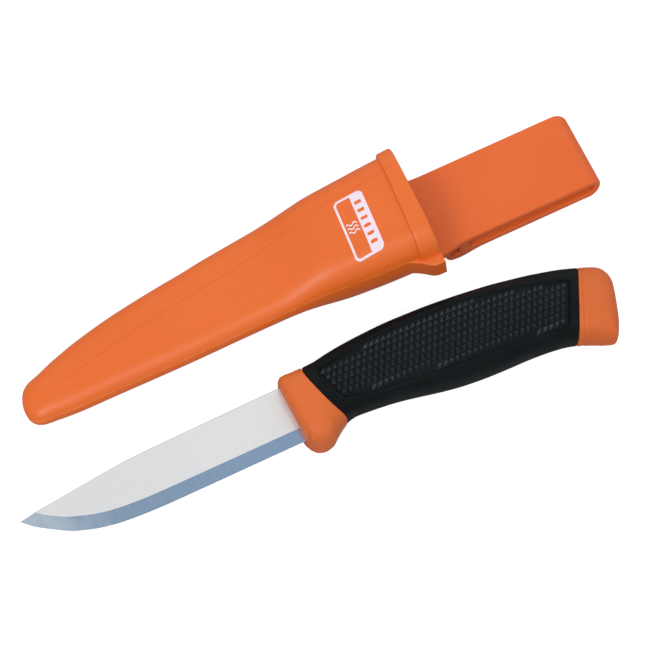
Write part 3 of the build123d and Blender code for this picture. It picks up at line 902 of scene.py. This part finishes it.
def make_print():
    c0, c1, c2 = np.array([123.4, 8.2]), np.array([134.5, 9.0]), np.array([124.6, 31.6])
    ux, uy = c1 - c0, c2 - c0
    W, H = float(np.linalg.norm(ux)), float(np.linalg.norm(uy))
    ux, uy = ux / W, uy / H
    nx, ny = int(W / 0.16), int(H / 0.16)

    def rrect(s, t, x0, y0, x1, y1, r):
        dx = max(x0 + r - s, 0, s - (x1 - r))
        dy = max(y0 + r - t, 0, t - (y1 - r))
        return math.hypot(dx, dy) <= r and x0 <= s <= x1 and y0 <= t <= y1

    def inked(s, t):
        if not rrect(s, t, 0, 0, W, H, 1.9):
            return False
        if not rrect(s, t, 0.75, 0.75, W - 0.75, H - 0.75, 1.3):
            return True
        # a solid strip with plain round-ended slots cut out of it, and three short waves beside it
        if s > W - 4.9:
            q = ((t - 2.3) % 3.15) - 1.5
            slot_ = 2.3 <= t <= H - 2.3 and math.hypot(q, max(0.0, abs(s - (W - 2.75)) - 0.75)) < 0.62
            return not slot_
        for k in range(3):
            y = H * 0.5 + (k - 1) * 1.5 + 0.42 * math.sin((s - 1.2) * 2.4)
            if 1.5 < s < W - 5.7 and abs(t - y) < 0.26:
                return True
        return False

    cols = {}
    b = Build()
    top = np.zeros((nx + 1, ny + 1, 3))
    zt = {}
    for i in range(nx + 1):
        for j in range(ny + 1):
            p = c0 + ux * (W * i / nx) + uy * (H * j / ny)
            top[i, j] = (p[0], p[1], 0)
    for i in range(0, nx + 1):
        for j in range(0, ny + 1, 1):
            if i % 6 == 0 and j % 6 == 0:
                zt[i, j] = sheath_top(top[i, j, 0], top[i, j, 1])
    gi, gj = sorted({k[0] for k in zt}), sorted({k[1] for k in zt})
    Z = np.array([[zt[i, j] for j in gj] for i in gi])
    for i in range(nx + 1):
        fi = min(i / 6, len(gi) - 1.000001)
        a, u = int(fi), fi - int(fi)
        a = min(a, len(gi) - 2)
        row = Z[a] * (1 - u) + Z[a + 1] * u if i <= gi[-1] else Z[-1] + (Z[-1] - Z[-2]) * (i - gi[-1]) / 6
        top[i, :, 2] = np.interp(np.arange(ny + 1), gj, row)
        if ny > gj[-1]:
            sl = (row[-1] - row[-2]) / 6
            for j in range(gj[-1], ny + 1):
                top[i, j, 2] = row[-1] + sl * (j - gj[-1])
    on = np.zeros((nx, ny), bool)
    for i in range(nx):
        for j in range(ny):
            on[i, j] = inked(W * (i + 0.5) / nx, H * (j + 0.5) / ny)
    up = top + [0, 0, 0.05]
    dn = top - [0, 0, 0.10]
    a = b.points(up)
    c = b.points(dn)
    idx = lambda o, i, j: o + i * (ny + 1) + j
    for i in range(nx):
        for j in range(ny):
            if not on[i, j]:
                continue
            b.face((idx(a, i, j), idx(a, i + 1, j), idx(a, i + 1, j + 1), idx(a, i, j + 1)))
            b.face((idx(c, i, j + 1), idx(c, i + 1, j + 1), idx(c, i + 1, j), idx(c, i, j)))
            for di, dj, p, q in ((-1, 0, (i, j + 1), (i, j)), (1, 0, (i + 1, j), (i + 1, j + 1)), (0, -1, (i, j), (i + 1, j)), (0, 1, (i + 1, j + 1), (i, j + 1))):
                u, v = i + di, j + dj
                if 0 <= u < nx and 0 <= v < ny and on[u, v]:
                    continue
                b.face((idx(a, *p), idx(c, *p), idx(c, *q), idx(a, *q)))
    o = b.make("printed_panel", sheath, [M_PRINT], sharp=40)
    import bmesh
    bm = bmesh.new()
    bm.from_mesh(o.data)
    loose = [v for v in bm.verts if not v.link_faces]
    bmesh.ops.delete(bm, geom=loose, context="VERTS")
    bmesh.ops.recalc_face_normals(bm, faces=bm.faces)
    bm.to_mesh(o.data)
    bm.free()
    return o


print_panel = make_print()
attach(print_panel, "sheath")

# ---------------------------------------------------------------------------
# stage: pale floor, soft studio light, camera
# ---------------------------------------------------------------------------
fm = Nodes("studio_floor")
fcol = fm.mix(fm.remap(fm.noise(3, 2, 0.5), 0.3, 0.7, 0.0, 1.0), (0.46, 0.46, 0.46, 1), (0.49, 0.49, 0.49, 1))
fm.link(fcol, fm.bsdf.inputs["Base Color"])
fm.link(fm.remap(fm.noise(8, 2, 0.5), 0.3, 0.7, 0.85, 0.95), fm.bsdf.inputs["Roughness"])
fm.bsdf.inputs["Specular IOR Level"].default_value = 0.1
fm.bsdf.inputs["Emission Color"].default_value = (1, 1, 1, 1)
fm.bsdf.inputs["Emission Strength"].default_value = 0.80
# what reaches the object from below is a quieter grey, as over a sheet with flags round it
low = fm.new("ShaderNodeBsdfDiffuse")
low.inputs["Color"].default_value = (0.50, 0.50, 0.51, 1)
lp = fm.new("ShaderNodeLightPath")
ms = fm.new("ShaderNodeMixShader")
fm.link(lp.outputs["Is Camera Ray"], ms.inputs[0])
fm.link(low.outputs[0], ms.inputs[1])
fm.link(fm.bsdf.outputs[0], ms.inputs[2])
fm.link(ms.outputs[0], fm.out.inputs["Surface"])
fme = bpy.data.meshes.new("floor")
zf = cad_box[0][2] - 0.0002
fme.from_pydata([(-6, -6, zf), (6, -6, zf), (6, 6, zf), (-6, 6, zf)], [], [(0, 1, 2, 3)])
fme.materials.append(fm.mat)
floor = bpy.data.objects.new("floor", fme)
bpy.context.scene.collection.objects.link(floor)

world = bpy.data.worlds.new("studio")
bpy.context.scene.world = world
world.use_nodes = True
wt = world.node_tree
wt.nodes.clear()
wo = wt.nodes.new("ShaderNodeOutputWorld")
bg = wt.nodes.new("ShaderNodeBackground")
wt.links.new(bg.outputs[0], wo.inputs[0])
tc = wt.nodes.new("ShaderNodeTexCoord")
sep = wt.nodes.new("ShaderNodeSeparateXYZ")
wt.links.new(tc.outputs["Generated"], sep.inputs[0])
mr = wt.nodes.new("ShaderNodeMapRange")
wt.links.new(sep.outputs["Y"], mr.inputs["Value"])
for k, v in zip(("From Min", "From Max", "To Min", "To Max"), (-1, 1, 0, 1)):
    mr.inputs[k].default_value = v
ramp = wt.nodes.new("ShaderNodeValToRGB")
wt.links.new(mr.outputs["Result"], ramp.inputs["Fac"])
cr = ramp.color_ramp
stops = [(0.0, (1.00, 1.00, 1.00)), (0.24, (0.95, 0.95, 0.96)), (0.37, (0.32, 0.43, 0.58)), (0.52, (0.33, 0.44, 0.60)),
         (0.66, (1.18, 1.17, 1.17)), (1.0, (1.22, 1.21, 1.20))]
while len(cr.elements) < len(stops):
    cr.elements.new(0.5)
for e, (p, c) in zip(cr.elements, stops):
    e.position = p
    e.color = (*c, 1)
mx = wt.nodes.new("ShaderNodeMix")
mx.data_type = "RGBA"
cin = [k for k in mx.inputs if k.type == "RGBA"]
wt.links.new(ramp.outputs["Color"], cin[0])
cin[1].default_value = (1.0, 1.0, 1.0, 1)
wt.links.new([k for k in mx.outputs if k.type == "RGBA"][0], bg.inputs["Color"])


def grade(axis, a, b, c, d):
    """A slow gradient of the studio along one axis of direction."""
    n = wt.nodes.new("ShaderNodeMapRange")
    wt.links.new(sep.outputs[axis], n.inputs["Value"])
    for k, v in zip(("From Min", "From Max", "To Min", "To Max"), (a, b, c, d)):
        n.inputs[k].default_value = v
    return n.outputs["Result"]


wt.links.new(grade("X", -0.30, -0.03, 0.80, 0.0), mx.inputs[0])
gm = wt.nodes.new("ShaderNodeMath")
gm.operation = "MULTIPLY"
wt.links.new(grade("Z", 0.0, 0.50, 0.44, 1.05), gm.inputs[0])
wt.links.new(grade("X", 0.06, 0.20, 0.78, 1.06), gm.inputs[1])
wt.links.new(gm.outputs[0], bg.inputs["Strength"])


def area(name, direction, distance, size, radiance, colour=(1, 1, 1)):
    d = np.array(direction, float)
    d /= np.linalg.norm(d)
    l = bpy.data.lights.new(name, "AREA")
    l.shape = "SQUARE"
    l.size = size
    l.energy = radiance * math.pi * size * size
    l.color = colour
    o = bpy.data.objects.new(name, l)
    bpy.context.scene.collection.objects.link(o)
    from mathutils import Vector
    o.location = Vector(d * distance)
    o.rotation_euler = Vector(d).to_track_quat("Z", "Y").to_euler()
    return o


area("key", (-0.53, -0.38, 0.76), 1.4, 0.40, 8.6)
area("low", (-0.16, -0.40, 0.90), 1.4, 0.32, 5.8)

az, el = math.radians(-26.5), math.radians(64.5)
back = np.array([math.sin(az) * math.cos(el), -math.cos(az) * math.cos(el), math.sin(el)])
right = np.array([math.cos(az), math.sin(az), 0.0])
up = np.cross(back, right)
target = np.array([7.2708, 7.9547, 0.0]) / 1000
cam = bpy.data.cameras.new("camera")
cam.lens, cam.sensor_width = 135.0, 36.0
cam.clip_start, cam.clip_end = 0.05, 50
co = bpy.data.objects.new("camera", cam)
bpy.context.scene.collection.objects.link(co)
from mathutils import Matrix
pos = target + back * 0.8531
co.matrix_world = Matrix([[right[0], up[0], back[0], pos[0]], [right[1], up[1], back[1], pos[1]],
                          [right[2], up[2], back[2], pos[2]], [0, 0, 0, 1]])
bpy.context.scene.camera = co
bpy.context.scene.view_settings.view_transform = "Standard"
bpy.context.scene.view_settings.look = "None"
bpy.context.scene.view_settings.exposure = 0.0
bpy.context.scene.view_settings.gamma = 1.0
